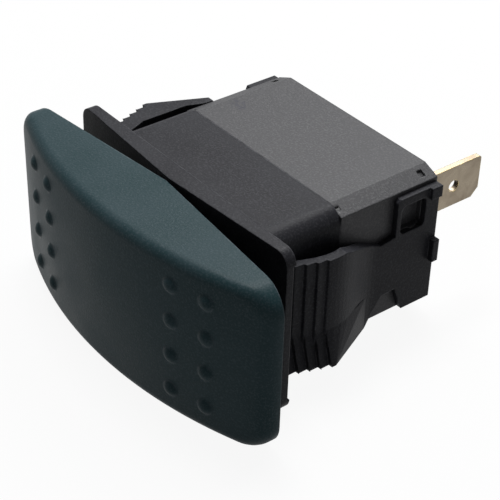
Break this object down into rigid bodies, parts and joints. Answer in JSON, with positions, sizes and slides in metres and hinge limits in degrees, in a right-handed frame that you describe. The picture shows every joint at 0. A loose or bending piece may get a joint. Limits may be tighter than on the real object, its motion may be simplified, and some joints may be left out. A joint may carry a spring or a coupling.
{
  "type": "panel rocker switch",
  "caption": "Snap-in panel rocker switch with a curved dotted rocker, bowed retaining arms with stepped teeth, and flat blade terminals at the rear.",
  "frame": {"origin": "middle of the flange's rear face, where the switch seats on its panel", "axes": "+X along the long side, +Y from the rocker towards the terminals (the way the switch goes into the panel), +Z across the short side"},
  "size_m": [0.0548, 0.0527, 0.025],
  "materials": {
    "bracket_plastic": "fine moulded grain, satin",
    "base_plastic": "fine moulded grain, satin",
    "rocker_plastic": "fine spark-eroded grain, satin",
    "lever_plastic": "smooth moulded",
    "seal_rubber": "smooth",
    "steel": "ground",
    "plunger_brass": "turned",
    "blade_copper": "rolled, bright",
    "contact_silver": "satin",
    "terminal_brass": "rolled strip, slightly tarnished"
  },
  "bodies": {
    "housing": {"bracket": "bracket_plastic", "base": "base_plastic", "housing_gasket": "seal_rubber", "pivot_pin": "steel", "common_terminal": "terminal_brass", "near_terminal": "terminal_brass", "far_terminal": "terminal_brass", "fixed_contact_near": "contact_silver", "fixed_contact_far": "contact_silver"},
    "rocker": {"rocker_cap": "rocker_plastic", "pivot_lever": "lever_plastic", "plunger_spring": "steel"},
    "plunger": {"plunger": "plunger_brass"},
    "seesaw": {"contact_blade": "blade_copper", "moving_contact_near": "contact_silver", "moving_contact_far": "contact_silver"}
  },
  "joints": [
    {"name": "rocker_tilt", "type": "hinge", "parent": "housing", "child": "rocker", "pos_m": [0, 0.0032, 0], "axis": [0, 0, 1], "range_deg": [-9, 9]},
    {"name": "blade_tilt", "type": "hinge", "parent": "housing", "child": "seesaw", "pos_m": [0, 0.0202, 0], "axis": [0, 0, 1], "range_deg": [-9, 9]},
    {"name": "plunger_slide", "type": "slide", "parent": "rocker", "child": "plunger", "axis": [0, -1, 0], "range_m": [0, 0.0008], "stiffness_N_per_m": 600, "springref_m": -0.002, "deforming": ["plunger_spring"]}
  ],
  "couplings": [
    {"joint": "blade_tilt", "follows": "rocker_tilt", "ratio": -1}
  ]
}
